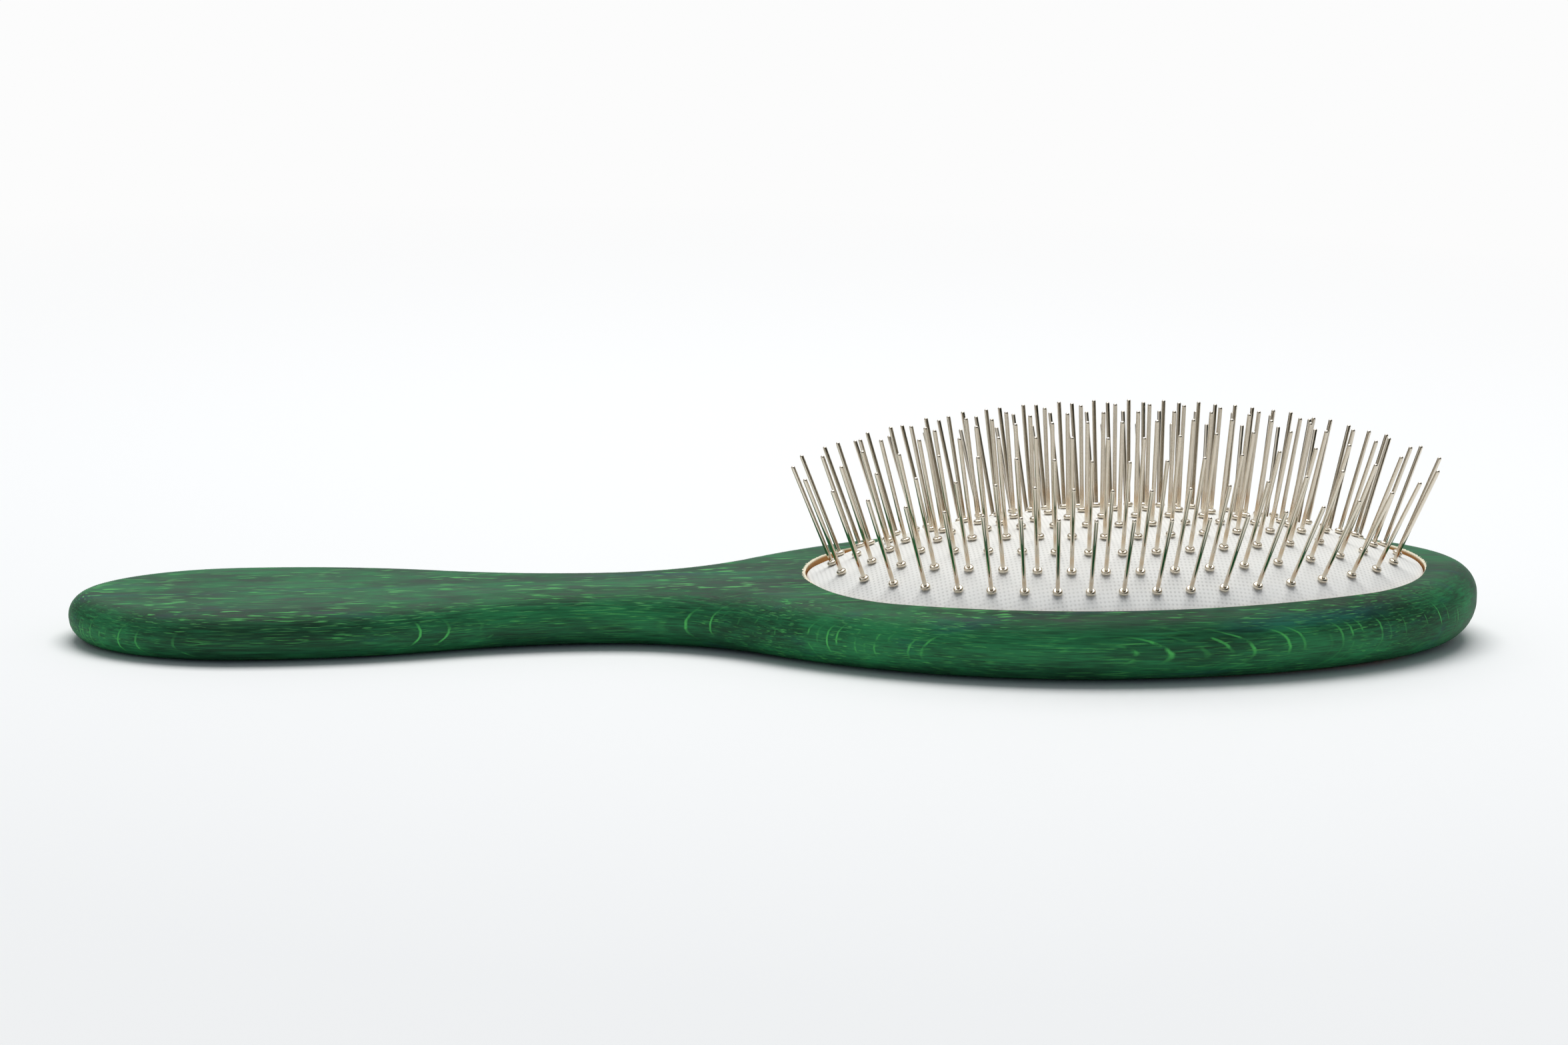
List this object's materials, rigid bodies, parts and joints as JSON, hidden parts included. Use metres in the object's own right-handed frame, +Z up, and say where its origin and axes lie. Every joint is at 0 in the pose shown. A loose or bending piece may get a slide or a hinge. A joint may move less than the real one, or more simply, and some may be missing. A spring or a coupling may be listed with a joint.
{
  "type": "pin brush",
  "caption": "Oval pin brush for a pet's coat: rounded wooden back with a waisted paddle handle, and straight steel pins standing in a domed rubber air cushion",
  "frame": {"origin": "Centre of the bounding box at its lowest plane, which is the flat back of the brush as it lies on a table", "axes": "+X along the brush from the end of the handle to the front of the head, +Y across it, +Z up, the way the pins point"},
  "size_m": [0.2382, 0.0708, 0.0391],
  "materials": {
    "stained_wood": "green stain under a matt lacquer, close straight grain",
    "cushion_rubber": "white matt rubber sheet with a fine dotted face",
    "pin_steel": "polished plated steel wire"
  },
  "bodies": {
    "root": {"wooden_back": "stained_wood", "cushion_pad": "cushion_rubber", "pins_ring_1": "pin_steel", "pins_ring_2": "pin_steel", "pins_ring_3": "pin_steel", "pins_ring_4": "pin_steel", "pins_ring_5": "pin_steel", "pins_middle_row": "pin_steel"}
  },
  "joints": []
}
